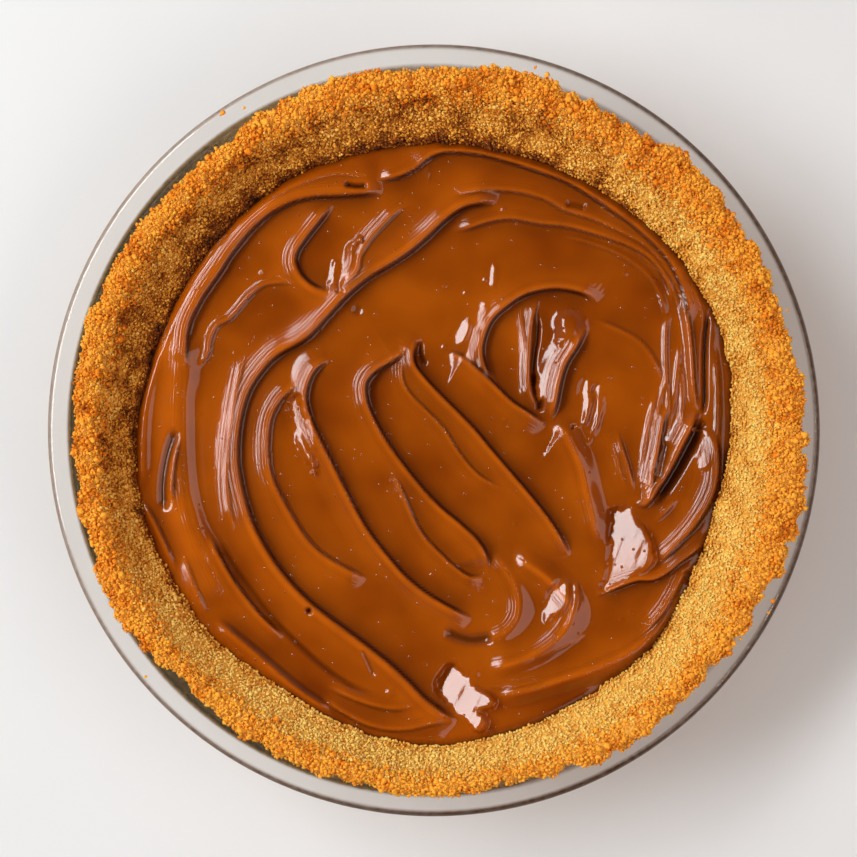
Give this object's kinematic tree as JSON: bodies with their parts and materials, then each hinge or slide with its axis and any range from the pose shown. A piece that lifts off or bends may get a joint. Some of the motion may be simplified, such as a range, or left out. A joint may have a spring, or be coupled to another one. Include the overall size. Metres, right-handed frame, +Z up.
{
  "type": "dulce de leche pie in a glass pie dish",
  "caption": "Uncut round pie: swirled caramel-brown milk filling in a pressed crumb crust, in its clear glass pie dish with a flat rim.",
  "frame": {"origin": "middle of the underside of the dish's base, on the surface that it stands on", "axes": "+Z up, +X to the right and +Y to the top of the pie as it is seen from above"},
  "size_m": [0.245, 0.245, 0.0413],
  "materials": {
    "glass": "clear pressed glass, smooth, with a fire-polished rim",
    "crumb_crust": "golden brown pressed biscuit crumbs, coarse and matt",
    "dulce_de_leche": "thick glossy caramel-brown spread, swirled with a spoon"
  },
  "bodies": {
    "root": {"dish": "glass", "crust": "crumb_crust", "filling": "dulce_de_leche"}
  },
  "joints": []
}
